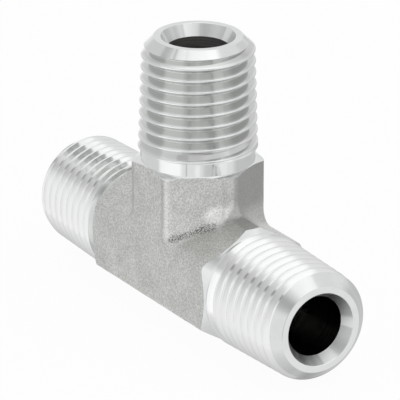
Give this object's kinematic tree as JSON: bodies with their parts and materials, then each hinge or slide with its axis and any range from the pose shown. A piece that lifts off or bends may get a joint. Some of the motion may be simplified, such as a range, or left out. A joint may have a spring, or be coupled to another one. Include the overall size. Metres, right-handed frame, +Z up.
{
  "type": "male pipe tee fitting",
  "caption": "Forged metal pipe tee with hexagonal arms and male taper-threaded ends, joining pipes at right angles through crossing passages.",
  "frame": {"origin": "where the axes of the run and the branch cross, inside the passage", "axes": "+X along the run to the right-hand male end, +Z up along the branch to its male end, -Y out of the front flat of the tee"},
  "size_m": [0.0538, 0.014, 0.0347],
  "materials": {
    "forged_steel": "blasted forging skin, matt and finely pitted",
    "turned_steel": "bright turned, fine lathe marks"
  },
  "bodies": {
    "root": {"forged_body": "forged_steel", "branch_male_end": "turned_steel", "right_male_end": "turned_steel", "left_male_end": "turned_steel"}
  },
  "joints": []
}
